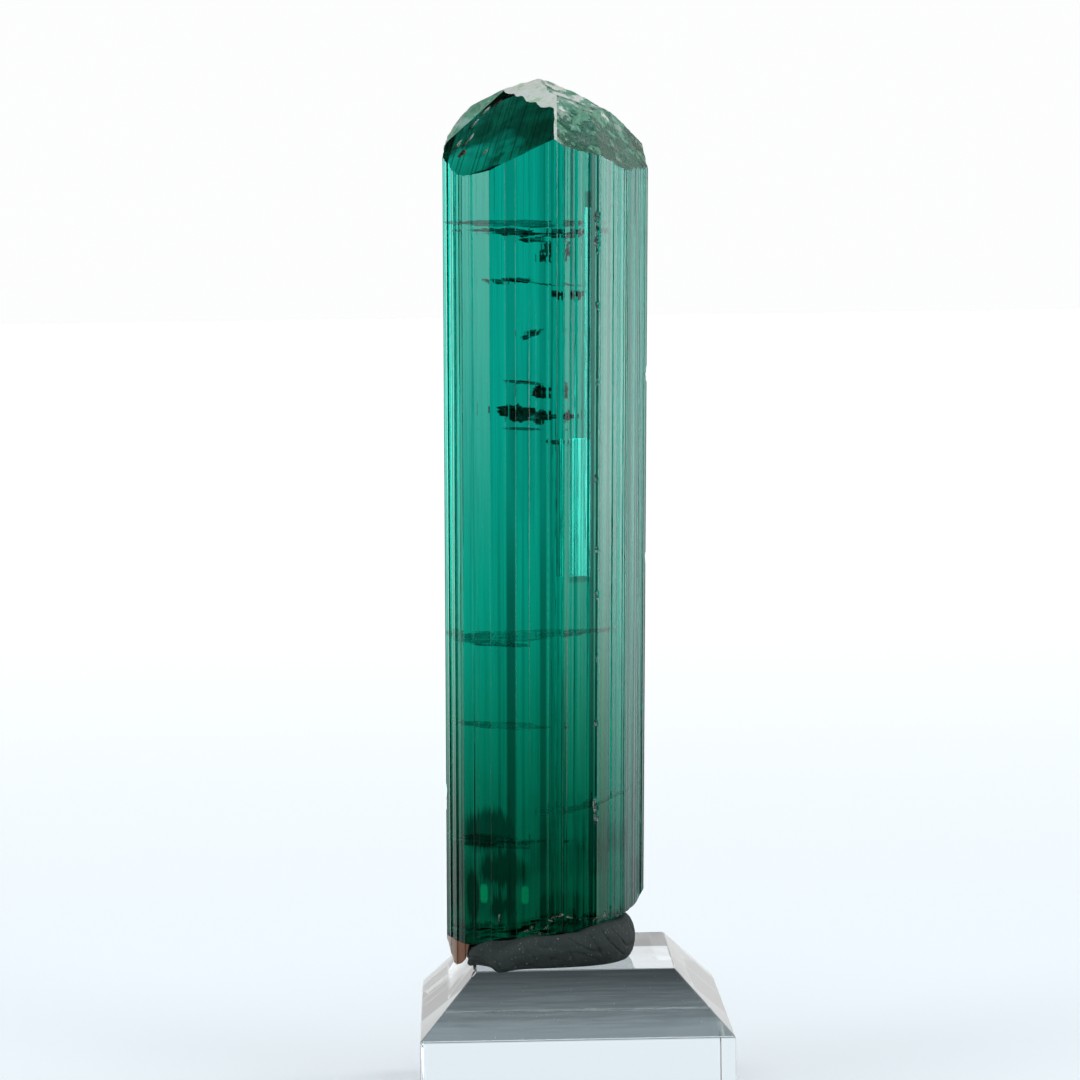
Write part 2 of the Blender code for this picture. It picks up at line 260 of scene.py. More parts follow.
# Creases run slanting round its side: their slant, their size across and upward in millimetres, how wide they
# are, and how deep in millimetres. Kneading gives it lumps: their height in millimetres, shares and sizes.
CREASE_SLANT = math.radians(-32.0)
CREASE_SIZE = (2.6, 0.9)
CREASE_WIDTH = 0.09
CREASE_DEPTH = 0.16
KNEAD_HEIGHT = 0.1
KNEAD_LAYERS = [(1.0, 1.7 * MM), (0.4, 0.6 * MM)]

# Green tourmaline: its index, how strongly it absorbs per metre, and the share of red, green and blue that it
# spares.
TOURMALINE_IOR = 1.63
TOURMALINE_DENSITY = 500.0
TOURMALINE_SPARES = (0.0, 0.852, 0.806)
ACRYLIC_IOR = 1.49
# Lengths round the crystal are measured at this distance from its axis.
MEAN_RADIUS_MM = 7.5

# Fractures inside, as thin gaps: middle, half sizes across and front to back, all in millimetres, how far it
# is tipped up toward the rear and down to the right in degrees, how ragged and how wavy it is.
FRACTURES = [
    ((-1.8, 0.5, 60.7), (4.4, 3.2), (5.0, 1.0), 0.5, 0.03),
    ((-3.4, 0.0, 60.2), (1.3, 1.6), (-6.0, 2.0), 0.8, 0.05),
    ((-1.6, -1.0, 59.9), (2.2, 1.5), (-9.0, 3.0), 0.8, 0.06),
    ((-0.4, -0.5, 59.4), (1.2, 1.2), (12.0, -4.0), 0.8, 0.06),
    ((1.2, 0.0, 59.9), (0.9, 1.3), (14.0, -8.0), 0.7, 0.05),
    ((2.3, 0.0, 60.1), (0.5, 0.8), (18.0, 5.0), 0.8, 0.05),
    ((0.6, -0.6, 58.6), (0.4, 0.8), (40.0, 20.0), 0.8, 0.05),
    ((0.3, -0.2, 57.9), (0.3, 0.5), (48.0, -20.0), 0.8, 0.05),
    ((-3.5, 0.0, 56.0), (0.6, 0.8), (14.0, 10.0), 0.6, 0.04),
    ((-1.7, 0.5, 56.1), (1.1, 0.9), (14.0, 4.0), 0.8, 0.05),
    ((-0.4, 0.4, 55.9), (2.0, 1.0), (4.0, 9.0), 0.5, 0.03),
    ((1.5, -0.5, 54.9), (0.5, 0.6), (35.0, 0.0), 0.6, 0.03),
    ((-0.6, -0.5, 51.7), (0.9, 1.0), (14.0, -20.0), 0.7, 0.06),
    ((-1.1, 0.2, 47.7), (1.6, 1.2), (5.0, 5.0), 0.7, 0.06),
    ((0.1, -0.4, 46.9), (0.6, 0.9), (42.0, 10.0), 0.7, 0.04),
    ((-1.9, 0.3, 45.3), (1.5, 1.8), (24.0, 3.0), 0.6, 0.04),
    ((0.0, 0.2, 44.9), (1.1, 1.5), (20.0, -4.0), 0.7, 0.05),
    ((-1.3, 0.6, 43.9), (1.8, 1.1), (-7.0, 2.0), 0.4, 0.02),
    ((1.3, 0.0, 42.8), (0.7, 0.7), (14.0, 8.0), 0.6, 0.04),
    ((-1.4, 0.6, 26.8), (5.4, 4.2), (2.0, -4.5), 0.4, 0.015),
    ((-3.0, 0.0, 26.1), (2.0, 2.0), (4.0, 2.0), 0.6, 0.03),
    ((-3.0, 0.0, 19.4), (4.0, 3.2), (1.5, 1.0), 0.4, 0.015),
    ((-3.6, 0.3, 9.6), (3.8, 3.4), (4.0, 1.0), 0.5, 0.02),
    ((4.5, -3.3, 13.4), (4.6, 3.6), (2.6, -13.0), 0.2, 0.0),
]
# Upright cracks inside, behind the front, that mirror the light from the right: middle in the section, lower
# and upper end, length across, all in millimetres, and turn in degrees.
MIRROR_CRACKS = [
    ((2.07, -2.25), (31.9, 43.2), 2.43, 51.2),
    ((2.81, -2.85), (31.9, 62.0), 0.4, 51.2),
]
FRACTURE_GAP = 0.03 * MM
FRACTURE_SEGMENTS = 72
FRACTURE_RINGS = 24

# What tells the faces of the cut crystal apart: where the top starts and how far up it faces, where the
# broken end stops, how far up it faces and how far outside the section it may lie, and where fractures stop
# and how deep inside they lie.
TOP_FROM = 60.0 * MM
TOP_FACES_UP = 0.25
BREAK_TO = 8.0 * MM
BREAK_FACES_UP = -0.2
BREAK_OUTSIDE = 1.0 * MM
FRACTURES_TO = 70.0 * MM
FRACTURES_INSIDE = 0.5 * MM


# ---------------------------------------------------------------- materials as expressions


class Value:
    """One socket of a node tree. Arithmetic on it adds the Math nodes."""

    def __init__(self, finish, socket):
        self.finish = finish
        self.socket = socket

    def maths(self, operation, *others):
        sockets = dict(enumerate((self, *others)))
        return self.finish.node("ShaderNodeMath", {"operation": operation}, sockets)

    def __add__(self, other):
        return self.maths("ADD", other)

    __radd__ = __add__

    def __mul__(self, other):
        return self.maths("MULTIPLY", other)

    __rmul__ = __mul__

    def __sub__(self, other):
        return self.maths("SUBTRACT", other)

    def __rsub__(self, other):
        return (self * -1.0) + other

    def __truediv__(self, other):
        return self.maths("DIVIDE", other)

    def __abs__(self):
        return self.maths("ABSOLUTE")

    def __neg__(self):
        return self * -1.0

    def rise(self, start, end):
        """0 below start, 1 above end, smooth between. With start above end it falls instead."""
        if start > end:
            return 1.0 - self.rise(end, start)
        sockets = {0: self, 1: start, 2: end, 3: 0.0, 4: 1.0}
        return self.finish.node("ShaderNodeMapRange", {"interpolation_type": "SMOOTHSTEP"}, sockets)

    def between(self, start, full, fade, end):
        """0 below start, 1 from full to fade, 0 above end."""
        return self.rise(start, full) * self.rise(end, fade)

    def most(self, other):
        return self.maths("MAXIMUM", other)

    def least(self, other):
        return self.maths("MINIMUM", other)


class Finish:
    """The node tree of one material, or of the world."""

    def __init__(self, tree):
        self.tree = tree
        self.tree.nodes.clear()

    def node(self, kind, settings=None, sockets=None, output=0):
        made = self.tree.nodes.new(kind)
        for name, value in (settings or {}).items():
            if name == "stops":
                ramp = made.color_ramp
                while len(ramp.elements) > 1:
                    ramp.elements.remove(ramp.elements[-1])
                for number, (place, colour) in enumerate(value):
                    stop = ramp.elements[0] if number == 0 else ramp.elements.new(place)
                    stop.position = place
                    stop.color = (*colour, 1.0)
            else:
                setattr(made, name, value)
        for name, value in (sockets or {}).items():
            socket = made.inputs[name]
            if isinstance(value, Value):
                self.tree.links.new(value.socket, socket)
            elif socket.type == "RGBA":
                socket.default_value = (*value, 1.0)
            else:
                socket.default_value = value
        return Value(self, made.outputs[output])

    def place(self):
        """Where on its piece a point is. A piece's own coordinates are the world's."""
        return self.node("ShaderNodeTexCoord", output="Object")

    def joined(self, x, y, z):
        return self.node("ShaderNodeCombineXYZ", sockets={0: x, 1: y, 2: z})

    def parts(self, vector):
        """The x, y and z of a vector."""
        split = self.node("ShaderNodeSeparateXYZ", sockets={0: vector})
        return [Value(self, socket) for socket in split.socket.node.outputs]

    def stretched(self, vector, scale):
        return self.node("ShaderNodeMapping", sockets={"Vector": vector, "Scale": scale})

    def noise(self, vector, scale, detail=2.0, rough=0.5):
        sockets = {"Vector": vector, "Scale": scale, "Detail": detail, "Roughness": rough}
        return self.node("ShaderNodeTexNoise", sockets=sockets)

    def cells(self, vector, scale):
        return self.node("ShaderNodeTexVoronoi", sockets={"Vector": vector, "Scale": scale})

    def mix(self, share, first, second):
        """A colour between two."""
        return self.node("ShaderNodeMix", {"data_type": "RGBA"}, {0: share, 6: first, 7: second}, output=2)

    def filtered(self, colour, passes, share=1.0):
        """A colour of which only this much red, green and blue is left, by this share."""
        settings = {"data_type": "RGBA", "blend_type": "MULTIPLY"}
        return self.node("ShaderNodeMix", settings, {0: share, 6: colour, 7: passes}, output=2)

    def bump(self, height, depth, strength=1.0):
        sockets = {"Height": height, "Distance": depth, "Strength": strength}
        return self.node("ShaderNodeBump", sockets=sockets)

    def principled(self, **sockets):
        named = {name.replace("_", " "): value for name, value in sockets.items()}
        return self.node("ShaderNodeBsdfPrincipled", sockets=named)

    def output(self, kind="ShaderNodeOutputMaterial", **sockets):
        made = self.tree.nodes.new(kind)
        for name, value in sockets.items():
            self.tree.links.new(value.socket, made.inputs[name])


def new_finish(name):
    material = bpy.data.materials.new(name)
    material.use_nodes = True
    return material, Finish(material.node_tree)


# Darker toward the crystal's foot, lighter toward its top: height and what the surface passes. Heights are
# from the floor in all these tables.
COLOUR_BY_HEIGHT = [
    (15.0 * MM, (0.22, 0.22, 0.14)),
    (20.3 * MM, (0.27, 0.27, 0.18)),
    (32.0 * MM, (0.58, 0.58, 0.46)),
    (41.5 * MM, (0.85, 0.85, 0.77)),
    (58.0 * MM, (1.0, 1.0, 1.0)),
]
# Painted shade bands along the prism, in place of the shade its striations throw: a point of the section at
# their middle, half their width, and their strength at the top and at the foot.
PAINTED_SHADE_BANDS = [
    ((-2.9 * MM, -6.1 * MM), 0.42 * MM, 0.5, 0.95),
    ((-0.25 * MM, -6.7 * MM), 0.3 * MM, 0.5, 0.86),
    ((3.8 * MM, -6.09 * MM), 0.2 * MM, 0.95, 0.95),
    ((4.2 * MM, -5.92 * MM), 0.15 * MM, 0.97, 0.98),
    ((2.35 * MM, -6.7 * MM), 0.1 * MM, 0.3, 0.5),
    ((1.0 * MM, -7.0 * MM), 0.14 * MM, 0.35, 0.4),
    ((-3.9 * MM, -5.9 * MM), 0.14 * MM, 0.2, 0.6),
    ((-1.9 * MM, -6.35 * MM), 0.12 * MM, 0.1, 0.5),
    ((0.55 * MM, -6.9 * MM), 0.16 * MM, 0.2, 0.65),
    ((-8.46 * MM, -0.7 * MM), 0.12 * MM, 0.75, 0.75),
    ((-7.95 * MM, -2.2 * MM), 0.13 * MM, 0.6, 0.75),
    ((-7.78 * MM, -2.75 * MM), 0.17 * MM, 0.8, 0.3),
    ((-7.5 * MM, -3.37 * MM), 0.12 * MM, 0.85, 0.75),
    ((-7.1 * MM, -4.06 * MM), 0.1 * MM, 0.3, 0.6),
    ((5.3 * MM, -4.6 * MM), 0.13 * MM, 0.1, 0.75),
    ((7.2 * MM, -1.5 * MM), 0.12 * MM, 0.6, 0.3),
    ((7.7 * MM, -0.26 * MM), 0.13 * MM, 0.7, 0.7),
    ((7.45 * MM, -0.9 * MM), 0.1 * MM, 0.1, 0.8),
]
# The part of the front where the painted shade lines are strongest, from one point of the section to another.
BUSY_PART = ((-0.1 * MM, -6.8 * MM), (4.2 * MM, -5.9 * MM))
# The right-hand part is paler toward the foot than the rest, from one point of the section to another.
PALE_PART = ((4.35 * MM, -5.75 * MM), (8.2 * MM, 2.6 * MM))
# Painted shade in dark patches: a point of the section, height, half width and half height in millimetres,
# and strength.
PAINTED_SHADE_PATCHES = [
    ((-5.1, -5.5), 23.8, 2.7, 2.2, 0.95),
    ((-3.6, -6.0), 20.6, 3.0, 1.8, 0.66),
    ((-6.2, -4.8), 18.0, 0.7, 2.6, 0.6),
    ((-3.9, -5.9), 17.0, 1.0, 1.2, 0.5),
    ((1.6, -7.0), 17.5, 3.0, 2.2, 0.4),
    ((-1.6, -6.4), 56.5, 2.0, 9.0, 0.22),
]
# A browner strip on the right, up to nearly half the height: a point of the section, half width, and what it
# passes.
BROWN_STRIP = ((4.8 * MM, -5.2 * MM), 0.46 * MM, (1.0, 0.8, 0.5))
# Painted shade over the inner cracks dims the light they mirror: a point of the section, half width, lower
# and upper end in millimetres, and what it passes.
CRACK_SHADE_STRIPS = [
    ((2.73 * MM, -6.54 * MM), 0.98 * MM, (44.4, 56.0), (1.0, 0.4, 0.38)),
    ((3.45 * MM, -6.24 * MM), 0.3 * MM, (56.0, 76.0), (1.0, 0.22, 0.2)),
]
# Painted glints near the foot: a point of the section, height, half width and half height.
PAINTED_GLINTS = [
    ((-5.25 * MM, -5.4 * MM), 18.6 * MM, 0.34 * MM, 0.75 * MM),
    ((-1.75 * MM, -6.4 * MM), 18.6 * MM, 0.3 * MM, 0.7 * MM),
]


def arc_of(point):
    """How far round the crystal this point of its section is, in millimetres from +X."""
    return math.atan2(point[1], point[0]) * MEAN_RADIUS_MM


def length_round(point, length):
    """How far round the crystal a length across this point of its section reaches, in millimetres."""
    return length / math.hypot(*point) * MEAN_RADIUS_MM


def strip_round(arc, point, half):
    """A mask that is 1 along a strip of the crystal."""
    reach = length_round(point, half)
    return abs(arc - arc_of(point)).rise(1.3 * reach, 0.6 * reach)


def around_crystal(finish, place):
    """How far round the crystal a point is from +X, and its height over the floor, both in millimetres."""
    x, y, z = finish.parts(place)
    across = x - (z - BASE_HEIGHT) * math.tan(CRYSTAL_LEAN) - CRYSTAL_X
    return (y.maths("ARCTAN2", across) - CRYSTAL_TURN) * MEAN_RADIUS_MM, z * 1000.0


# Each kind of face of the crystal gives its colour, roughness, normal and transmission.


def grown_face(finish, place):
    """A striated side, darker toward its foot, with painted shade lines and patches and painted glints."""
    arc, height = around_crystal(finish, place)
    low, high = COLOUR_BY_HEIGHT[0][0], COLOUR_BY_HEIGHT[-1][0]
    stops = [((level - low) / (high - low), colour) for level, colour in COLOUR_BY_HEIGHT]
    upward = (height * MM - low) / (high - low)
    tint = finish.node("ShaderNodeValToRGB", {"stops": stops}, {0: upward})
    pale_from, pale_to = [arc_of(point) for point in PALE_PART]
    tint = finish.mix(0.9 * arc.between(pale_from - 0.1, pale_from, 0.0, pale_to), tint, (1.0, 1.0, 1.0))

    along = finish.joined(arc, height * 0.008, 0.0)
    broad = finish.noise(along, 1.1, 2.0, 0.6)
    lines = finish.noise(along, 2.7, 1.0, 0.5)
    fine = finish.noise(along, 5.5, 3.0, 0.7)
    finer = finish.noise(along, 14.0, 2.0, 0.7)
    # Painted shade: fine dark lines along the prism, in place of the shade its striations throw.
    dark = 0.5 * fine.rise(0.52, 0.78) + 0.3 * broad.rise(0.45, 0.7) + 0.35 * finer.rise(0.55, 0.75)
    busy_from, busy_to = [arc_of(point) for point in BUSY_PART]
    busy = arc.between(busy_from - 0.3, busy_from, busy_to - 0.2, busy_to)
    dark = dark + 0.6 * busy * lines.rise(0.52, 0.6)
    foot = upward.rise(0.97, 0.62)
    # Painted shade bands, their strength changing from the top to the foot.
    for point, half, at_top, at_foot in PAINTED_SHADE_BANDS:
        dark = dark.most(strip_round(arc, point, half) * (at_top + (at_foot - at_top) * foot))

    # Painted shade: cloudy dark blotches toward the foot, below 30 mm.
    cloud = finish.noise(finish.stretched(place, (1.0, 1.0, 0.6)), 230.0, 3.0, 0.6)
    dark = dark + 0.6 * cloud.rise(0.48, 0.66) * height.rise(30.0, 20.0)
    streak = 2.5 * (fine - 0.5) + 3.0 * (cloud - 0.5)
    # Painted shade patches, their edges broken up by streaks.
    for point, level, half, half_height, strength in PAINTED_SHADE_PATCHES:
        across = (arc - arc_of(point)) / half
        up = (height - level - streak) / half_height
        dark = dark + strength * (across * across + up * up).rise(1.0, 0.25)
    # Painted glints: there the colour is lighter and yellower, and free of painted shade.
    for point, level, half, half_height in PAINTED_GLINTS:
        across = (arc - arc_of(point)) / length_round(point, half)
        up = (height * MM - level) / half_height
        painted_glint = (up * up * up * up + across * across * across * across).rise(2.0, 0.1)
        tint = finish.mix(painted_glint, tint, (0.9, 1.0, 0.45))
        dark = dark * (1.0 - painted_glint)

    # All the painted shade darkens the colour, at most to 7% of it.
    colour = finish.mix(dark.least(1.0), tint, finish.filtered(tint, (0.07, 0.07, 0.07)))
    point, half, brown = BROWN_STRIP
    colour = finish.filtered(colour, brown, strip_round(arc, point, half) * upward.rise(0.75, 0.45))
    # Painted shade on the front over the inner cracks.
    for point, half, (lower, upper), passes in CRACK_SHADE_STRIPS:
        share = strip_round(arc, point, half) * height.between(lower - 0.3, lower, upper - 0.2, upper)
        colour = finish.filtered(colour, passes, share)
    pits = finish.noise(place, 2600.0, 2.0)
    roughness = 0.012 + 0.08 * finer.rise(0.35, 0.2) + 0.12 * pits.rise(0.66, 0.75)
    return colour, roughness, finish.bump(fine, 0.01 * MM, 0.5), 1.0


def smooth_face(finish, place):
    """Glossy face with painted shade and inner reflections: clear, yellowish low down, dark green swirls
    above.
    """
    z = finish.parts(place)[2]
    height = (z - BASE_HEIGHT) * 1000.0
    swirl = finish.noise(finish.stretched(place, (1.0, 1.0, 1.6)), 260.0, 3.0, 0.6)
    shard = finish.cells(finish.stretched(place, (1.0, 1.0, 0.45)), 420.0)
    # Painted shade and reflections: darker toward the top, in swirls and shards.
    dark = 0.95 * height.rise(64.8, 69.0) + 1.6 * (swirl - 0.5)
    colour = finish.mix(dark.rise(0.0, 0.9), (1.0, 1.0, 0.74), (0.03, 0.07, 0.035))
    colour = finish.mix(shard.rise(0.35, 0.5) * swirl.rise(0.42, 0.6), colour, (0.06, 0.15, 0.08))
    roughness = 0.01 + 0.06 * swirl.rise(0.5, 0.7)
    return colour, roughness, finish.bump(swirl, 0.02 * MM, 0.4), 1.0


def clear_wall(finish, place):
    """The wall of a crack inside, smooth enough to mirror."""
    return (1.0, 1.0, 1.0), 0.0, finish.bump(finish.noise(place, 900.0, 2.0), 0.002 * MM, 0.3), 1.0


def pitted_face(finish, place, rough, transmission):
    """A face of the top, pitted and full of pale grains and bright specks."""
    grain = finish.noise(place, 2600.0, 3.0, 0.65)
    lump = finish.noise(place, 700.0, 2.0)
    speck = finish.noise(place, 2400.0, 1.0).rise(0.66, 0.7)
    colour = finish.mix(grain.rise(0.35, 0.65), (0.19, 0.56, 0.35), (0.42, 0.9, 0.58))
    colour = finish.mix(lump.rise(0.5, 0.7), colour, (0.9, 1.0, 0.84))
    colour = finish.mix(speck, colour, (1.0, 1.0, 1.0))
    roughness = rough + 0.2 * grain.rise(0.4, 0.7) - 0.1 * speck
    return colour, roughness, finish.bump(0.25 * grain + lump, 0.05 * MM), transmission


def etched_face(finish, place):
    """Pitted and half dull."""
    return pitted_face(finish, place, 0.4, 0.66)


def bright_face(finish, place):
    """Pitted, but clearer and glossier."""
    return pitted_face(finish, place, 0.22, 0.88)


def frosted_face(finish, place):
    """Dull and pale, hardly letting light through."""
    grain = finish.noise(place, 2600.0, 4.0, 0.7)
    patch = finish.noise(place, 800.0, 3.0, 0.6)
    colour = finish.mix(grain.rise(0.25, 0.5), (0.75, 0.74, 0.55), (1.0, 0.98, 0.9))
    colour = finish.mix(patch.rise(0.52, 0.66), colour, (0.62, 0.78, 0.5))
    return colour, 0.3 + 0.3 * grain, finish.bump(grain, 0.07 * MM), 0.3


def chip_wall(finish, place):
    """The wall of a chip: painted shade, dark green, with white grains as painted highlights."""
    grain = finish.noise(place, 2600.0, 4.0, 0.7)
    # Painted shade and highlights: mostly deep dark green, with white grains.
    colour = finish.mix(grain.rise(0.48, 0.6), (0.02, 0.09, 0.07), (0.9, 1.0, 0.95))
    return colour, 0.1 + 0.3 * grain, finish.bump(grain, 0.05 * MM), 0.85


def stained_face(finish, place):
    """The splinter: rusty, and whitish at its left end."""
    grain = finish.noise(place, 1400.0, 4.0, 0.7)
    rust = finish.parts(place)[0].rise(-10.4 * MM, -9.4 * MM)
    colour = finish.mix(grain.rise(0.35, 0.65), (0.6, 0.45, 0.36), (0.82, 0.7, 0.64))
    colour = finish.mix(rust, colour, (0.32, 0.13, 0.06))
    return colour, 0.3 + 0.3 * grain, finish.bump(grain, 0.04 * MM), 0.35


def broken_face(finish, place):
    """The broken lower end: grainy, nearly clear, brown in places."""
    grain = finish.noise(place, 1500.0, 4.0, 0.7)
    stain = finish.noise(place, 420.0, 2.0).rise(0.56, 0.66)
    colour = finish.mix(grain.rise(0.4, 0.62), (0.5, 0.75, 0.6), (1.0, 1.0, 0.95))
    colour = finish.mix(stain, colour, (0.7, 0.45, 0.3))
    return colour, 0.04 + 0.16 * grain, finish.bump(grain, 0.015 * MM), 0.94


def fracture_wall(finish, place):
    """The wall of a fracture inside: grainy, in parts dull."""
    grain = finish.noise(place, 1500.0, 3.0, 0.6)
    colour = finish.mix(grain.rise(0.4, 0.6), (0.5, 0.6, 0.5), (0.95, 1.0, 0.95))
    return colour, 0.04 + 0.4 * grain, finish.bump(grain, 0.03 * MM), 1.0


FACES = {
    "grown": grown_face,
    "smooth": smooth_face,
    "etched": etched_face,
    "bright": bright_face,
    "frosted": frosted_face,
    "chipped": chip_wall,
    "broken": broken_face,
    "stained": stained_face,
    "fractured": fracture_wall,
    "clear": clear_wall,
}


def tourmaline(kind):
    """Green tourmaline with one kind of face. Its green comes from what its inside absorbs."""
    material, finish = new_finish(f"green tourmaline {kind}")
    colour, roughness, normal, transmission = FACES[kind](finish, finish.place())
    surface = finish.principled(
        Base_Color=colour,
        Roughness=roughness,
        IOR=TOURMALINE_IOR,
        Transmission_Weight=transmission,
        Normal=normal,
    )
    inside = {"Color": TOURMALINE_SPARES, "Density": TOURMALINE_DENSITY}
    finish.output(Surface=surface, Volume=finish.node("ShaderNodeVolumeAbsorption", sockets=inside))
    return material


def acrylic(milled_and_shaded):
    """Clear cast acrylic: polished, or a bevel with the fine scratches of milling and rubbing and painted
    shade on it.
    """
    material, finish = new_finish("clear acrylic bevel" if milled_and_shaded else "clear acrylic")
    place = finish.place()
    specks = finish.noise(place, 3400.0, 2.0).rise(0.7, 0.78)
    if milled_and_shaded:
        along = finish.noise(finish.stretched(place, (0.03, 0.3, 1.0)), 5200.0, 3.0, 0.7)
        roughness = 0.06 + 0.06 * along.rise(0.4, 0.7) + 0.3 * specks
        normal = finish.bump(along, 0.006 * MM, 0.5)
        # Painted shade: near black at the bevel's top, lightening toward its foot and streaked along the
        # scratches.
        down = finish.parts(place)[2].rise(BASE_HEIGHT, BASE_HEIGHT - BEVEL_DROP)
        level = (0.05 + 0.62 * down + 0.5 * down.rise(0.75, 1.0)) * (0.75 + 0.5 * along.rise(0.35, 0.7))
        colour = finish.mix(level.least(1.0), (0.0, 0.0, 0.0), (0.78, 0.96, 1.0))
    else:
        roughness = 0.015 + 0.2 * specks
        normal = finish.bump(finish.noise(place, 900.0, 3.0), 0.002 * MM, 0.4)
        colour = (0.98, 0.995, 1.0)
    surface = finish.principled(
        Base_Color=colour, Roughness=roughness, IOR=ACRYLIC_IOR, Transmission_Weight=1.0, Normal=normal
    )
    finish.output(Surface=surface)
    return material


def putty_finish():
    """Dark grey-green putty: matte, kneaded, dusted with pale specks."""
    material, finish = new_finish("mounting putty")
    place = finish.place()
    knead = finish.noise(place, 500.0, 4.0, 0.6)
    specks = finish.noise(place, 6500.0, 2.0).rise(0.68, 0.74)
    colour = finish.mix(knead, (0.01, 0.017, 0.015), (0.034, 0.047, 0.043))
    colour = finish.mix(specks, colour, (0.25, 0.28, 0.26))
    surface = finish.principled(
        Base_Color=colour,
        Roughness=0.62 + 0.2 * knead,
        Specular_IOR_Level=0.35,
        Normal=finish.bump(finish.noise(place, 1600.0, 4.0, 0.65), 0.09 * MM, 0.8),
    )
    finish.output(Surface=surface)
    return material


# ---------------------------------------------------------------- modelling helpers


def deselect():
    if bpy.context.mode != "OBJECT":
        bpy.ops.object.mode_set(mode="OBJECT")
    bpy.ops.object.select_all(action="DESELECT")


def take(piece):
    """Makes this the only selected and the active object."""
    deselect()
    piece.select_set(True)
    bpy.context.view_layer.objects.active = piece


def apply_modifiers(piece):
    take(piece)
    for modifier in list(piece.modifiers):
        bpy.ops.object.modifier_apply(modifier=modifier.name)


def settle(piece):
    """Puts a piece's place into its mesh."""
    take(piece)
    bpy.ops.object.transform_apply(location=True, rotation=True, scale=True)


def start_edit(piece):
    """Opens a piece for editing, with all of it selected."""
    take(piece)
    bpy.ops.object.mode_set(mode="EDIT")
    bpy.ops.mesh.select_all(action="SELECT")


def end_edit():
    bpy.ops.object.mode_set(mode="OBJECT")


def outward_faces(piece):
    start_edit(piece)
    bpy.ops.mesh.normals_make_consistent(inside=False)
    end_edit()


def divide(piece, place, normal, chosen=None, **settings):
    """Cuts a piece along a plane, or only those of its faces that chosen(normal, middle) picks."""
    start_edit(piece)
    if chosen:
        bpy.ops.mesh.select_all(action="DESELECT")
        end_edit()
        for polygon in piece.data.polygons:
            polygon.select = chosen(polygon.normal, polygon.center)
        bpy.ops.object.mode_set(mode="EDIT")
    bpy.ops.mesh.bisect(plane_co=place, plane_no=normal, threshold=CUT_TOLERANCE, **settings)
    end_edit()


def subtract(piece, cutter):
    cut = piece.modifiers.new("cut", "BOOLEAN")
    cut.operation = "DIFFERENCE"
    cut.solver = "MANIFOLD"
    cut.object = cutter
    apply_modifiers(piece)
    bpy.data.objects.remove(cutter, do_unlink=True)


def slab(name, low, high, height_at, closing, cell, up):
    """A block from the plane z = closing to a surface that height_at gives over the rectangle low..high.

    It is a grid that is extruded upward by up, or downward where up is negative, and then shaped.
    """
    columns = max(2, round((high[0] - low[0]) / cell))
    rows = max(2, round((high[1] - low[1]) / cell))
    deselect()
    bpy.ops.mesh.primitive_grid_add(
        x_subdivisions=columns,
        y_subdivisions=rows,
        size=1.0,
        location=((low[0] + high[0]) / 2, (low[1] + high[1]) / 2, closing),
    )
    made = bpy.context.object
    made.name = name
    made.scale = (high[0] - low[0], high[1] - low[1], 1.0)
    settle(made)
    start_edit(made)
    bpy.ops.mesh.extrude_region_move(TRANSFORM_OT_translate={"value": (0.0, 0.0, up)})
    end_edit()
    for vertex in made.data.vertices:
        if abs(vertex.co.z - closing) > abs(up) / 2:
            vertex.co.z = height_at(vertex.co.x, vertex.co.y)
    outward_faces(made)
    return made


def stack(name, count, radius, foot, step, steps, place_at):
    """A circle extruded upward in steps. place_at(number, height) then says where each vertex goes."""
    deselect()
    bpy.ops.mesh.primitive_circle_add(
        vertices=count, radius=radius, fill_type="NGON", location=(0.0, 0.0, foot)
    )
    made = bpy.context.object
    made.name = name
    settle(made)
    order = made.data.attributes.new("order", "INT", "POINT")
    order.data.foreach_set("value", list(range(count)))
    start_edit(made)
    for _ in range(steps):
        bpy.ops.mesh.extrude_region_move(TRANSFORM_OT_translate={"value": (0.0, 0.0, step)})
    end_edit()
    order = made.data.attributes["order"]
    for vertex, number in zip(made.data.vertices, order.data):
        vertex.co = place_at(number.value, vertex.co.z)
    made.data.attributes.remove(order)
    outward_faces(made)
    return made


def layered(place, layers):
    """Noise in several sizes at once: the share and the size of each."""
    return sum(share * noise.noise(place / size) for share, size in layers)


# ---------------------------------------------------------------- crystal


def crystal_frame():
    place = Matrix.Translation((CRYSTAL_X, 0.0, BASE_HEIGHT))
    return place @ Matrix.Rotation(CRYSTAL_TURN, 4, "Z") @ Matrix.Rotation(CRYSTAL_LEAN, 4, "Y")


def width_at(height):
    """How wide the prism is at this height, as a share of its full width."""
    return 1.0 - TAPER_PER_METRE * (FULL_WIDTH_HEIGHT - height)


